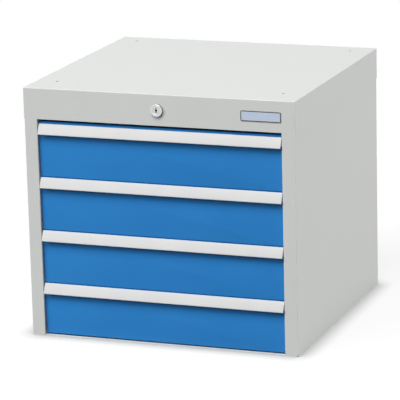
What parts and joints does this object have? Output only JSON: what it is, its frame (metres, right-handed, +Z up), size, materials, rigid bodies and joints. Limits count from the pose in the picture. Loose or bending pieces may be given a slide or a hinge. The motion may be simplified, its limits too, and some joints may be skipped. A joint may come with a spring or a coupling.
{
  "type": "underbench drawer unit",
  "caption": "Low folded-steel case of locking drawers on ball-bearing rails, with full-width finger grips, a cylinder lock in the header and bolt holes in its top.",
  "frame": {"origin": "on the floor, in the middle of the whole unit's width and depth", "axes": "+X to the right seen from the front, +Y from the front to the back, +Z up; the drawers open along -Y"},
  "size_m": [0.5, 0.484, 0.45],
  "materials": {
    "case_paint": "light grey powder coat, fine texture, satin",
    "front_paint": "blue powder coat, satin",
    "grip_finish": "pale grey coated extrusion, satin",
    "tray_paint": "light grey powder coat, satin",
    "rail_zinc": "bright zinc plate",
    "cage_steel": "bare steel strip with polished balls",
    "gear_zinc": "dull zinc plate",
    "fixing_zinc": "zinc plate",
    "lock_chrome": "satin chrome plate",
    "plate_metal": "pale anodised face, left bare"
  },
  "bodies": {
    "cabinet": {"top_cover": "case_paint", "left_side_panel": "case_paint", "right_side_panel": "case_paint", "back_panel": "case_paint", "back_rivets": "fixing_zinc", "bottom_panel": "case_paint", "left_front_upright": "rail_zinc", "left_rear_upright": "rail_zinc", "right_front_upright": "rail_zinc", "right_rear_upright": "rail_zinc", "rail_nuts": "fixing_zinc", "nameplate": "plate_metal", "lock_housing": "lock_chrome", "lock_nut": "fixing_zinc", "shaft_bracket": "gear_zinc", "bar_guides": "gear_zinc", "fixed_rails_1": "rail_zinc", "fixed_rails_2": "rail_zinc", "fixed_rails_3": "rail_zinc", "fixed_rails_4": "rail_zinc"},
    "drawer_1": {"drawer_tray_1": "tray_paint", "drawer_front_1": "front_paint", "grip_strip_1": "grip_finish", "drawer_nuts_1": "fixing_zinc", "lock_hook_1": "gear_zinc", "drawer_rails_1": "rail_zinc"},
    "middle_member_1": {"middle_rails_1": "rail_zinc"},
    "outer_balls_1": {"outer_cages_1": "cage_steel"},
    "inner_balls_1": {"inner_cages_1": "cage_steel"},
    "drawer_2": {"drawer_tray_2": "tray_paint", "drawer_front_2": "front_paint", "grip_strip_2": "grip_finish", "drawer_nuts_2": "fixing_zinc", "lock_hook_2": "gear_zinc", "drawer_rails_2": "rail_zinc"},
    "middle_member_2": {"middle_rails_2": "rail_zinc"},
    "outer_balls_2": {"outer_cages_2": "cage_steel"},
    "inner_balls_2": {"inner_cages_2": "cage_steel"},
    "drawer_3": {"drawer_tray_3": "tray_paint", "drawer_front_3": "front_paint", "grip_strip_3": "grip_finish", "drawer_nuts_3": "fixing_zinc", "lock_hook_3": "gear_zinc", "drawer_rails_3": "rail_zinc"},
    "middle_member_3": {"middle_rails_3": "rail_zinc"},
    "outer_balls_3": {"outer_cages_3": "cage_steel"},
    "inner_balls_3": {"inner_cages_3": "cage_steel"},
    "drawer_4": {"drawer_tray_4": "tray_paint", "drawer_front_4": "front_paint", "grip_strip_4": "grip_finish", "drawer_nuts_4": "fixing_zinc", "lock_hook_4": "gear_zinc", "drawer_rails_4": "rail_zinc"},
    "middle_member_4": {"middle_rails_4": "rail_zinc"},
    "outer_balls_4": {"outer_cages_4": "cage_steel"},
    "inner_balls_4": {"inner_cages_4": "cage_steel"},
    "lock": {"lock_plug": "lock_chrome", "lock_shaft": "gear_zinc"},
    "bar": {"locking_bar": "gear_zinc", "catch_plates": "gear_zinc"}
  },
  "joints": [
    {"name": "drawer_1_slide", "type": "slide", "parent": "cabinet", "child": "drawer_1", "axis": [0, -1, 0], "range_m": [0, 0.39]},
    {"name": "middle_member_1_slide", "type": "slide", "parent": "cabinet", "child": "middle_member_1", "axis": [0, -1, 0], "range_m": [0, 0.195]},
    {"name": "outer_balls_1_slide", "type": "slide", "parent": "cabinet", "child": "outer_balls_1", "axis": [0, -1, 0], "range_m": [0, 0.0975]},
    {"name": "inner_balls_1_slide", "type": "slide", "parent": "cabinet", "child": "inner_balls_1", "axis": [0, -1, 0], "range_m": [0, 0.2925]},
    {"name": "drawer_2_slide", "type": "slide", "parent": "cabinet", "child": "drawer_2", "axis": [0, -1, 0], "range_m": [0, 0.39]},
    {"name": "middle_member_2_slide", "type": "slide", "parent": "cabinet", "child": "middle_member_2", "axis": [0, -1, 0], "range_m": [0, 0.195]},
    {"name": "outer_balls_2_slide", "type": "slide", "parent": "cabinet", "child": "outer_balls_2", "axis": [0, -1, 0], "range_m": [0, 0.0975]},
    {"name": "inner_balls_2_slide", "type": "slide", "parent": "cabinet", "child": "inner_balls_2", "axis": [0, -1, 0], "range_m": [0, 0.2925]},
    {"name": "drawer_3_slide", "type": "slide", "parent": "cabinet", "child": "drawer_3", "axis": [0, -1, 0], "range_m": [0, 0.39]},
    {"name": "middle_member_3_slide", "type": "slide", "parent": "cabinet", "child": "middle_member_3", "axis": [0, -1, 0], "range_m": [0, 0.195]},
    {"name": "outer_balls_3_slide", "type": "slide", "parent": "cabinet", "child": "outer_balls_3", "axis": [0, -1, 0], "range_m": [0, 0.0975]},
    {"name": "inner_balls_3_slide", "type": "slide", "parent": "cabinet", "child": "inner_balls_3", "axis": [0, -1, 0], "range_m": [0, 0.2925]},
    {"name": "drawer_4_slide", "type": "slide", "parent": "cabinet", "child": "drawer_4", "axis": [0, -1, 0], "range_m": [0, 0.39]},
    {"name": "middle_member_4_slide", "type": "slide", "parent": "cabinet", "child": "middle_member_4", "axis": [0, -1, 0], "range_m": [0, 0.195]},
    {"name": "outer_balls_4_slide", "type": "slide", "parent": "cabinet", "child": "outer_balls_4", "axis": [0, -1, 0], "range_m": [0, 0.0975]},
    {"name": "inner_balls_4_slide", "type": "slide", "parent": "cabinet", "child": "inner_balls_4", "axis": [0, -1, 0], "range_m": [0, 0.2925]},
    {"name": "bar_lift", "type": "slide", "parent": "cabinet", "child": "bar", "axis": [0, 0, 1], "range_m": [0, 0.01414]},
    {"name": "lock_turn", "type": "hinge", "parent": "cabinet", "child": "lock", "pos_m": [0, -0.238, 0.42225], "axis": [0, 1, 0], "range_deg": [0, 90]}
  ],
  "couplings": [
    {"joint": "middle_member_1_slide", "follows": "drawer_1_slide", "ratio": 0.5},
    {"joint": "outer_balls_1_slide", "follows": "drawer_1_slide", "ratio": 0.25},
    {"joint": "inner_balls_1_slide", "follows": "drawer_1_slide", "ratio": 0.75},
    {"joint": "middle_member_2_slide", "follows": "drawer_2_slide", "ratio": 0.5},
    {"joint": "outer_balls_2_slide", "follows": "drawer_2_slide", "ratio": 0.25},
    {"joint": "inner_balls_2_slide", "follows": "drawer_2_slide", "ratio": 0.75},
    {"joint": "middle_member_3_slide", "follows": "drawer_3_slide", "ratio": 0.5},
    {"joint": "outer_balls_3_slide", "follows": "drawer_3_slide", "ratio": 0.25},
    {"joint": "inner_balls_3_slide", "follows": "drawer_3_slide", "ratio": 0.75},
    {"joint": "middle_member_4_slide", "follows": "drawer_4_slide", "ratio": 0.5},
    {"joint": "outer_balls_4_slide", "follows": "drawer_4_slide", "ratio": 0.25},
    {"joint": "inner_balls_4_slide", "follows": "drawer_4_slide", "ratio": 0.75},
    {"joint": "lock_turn", "follows": "bar_lift", "rad_per_m": 111.07}
  ]
}
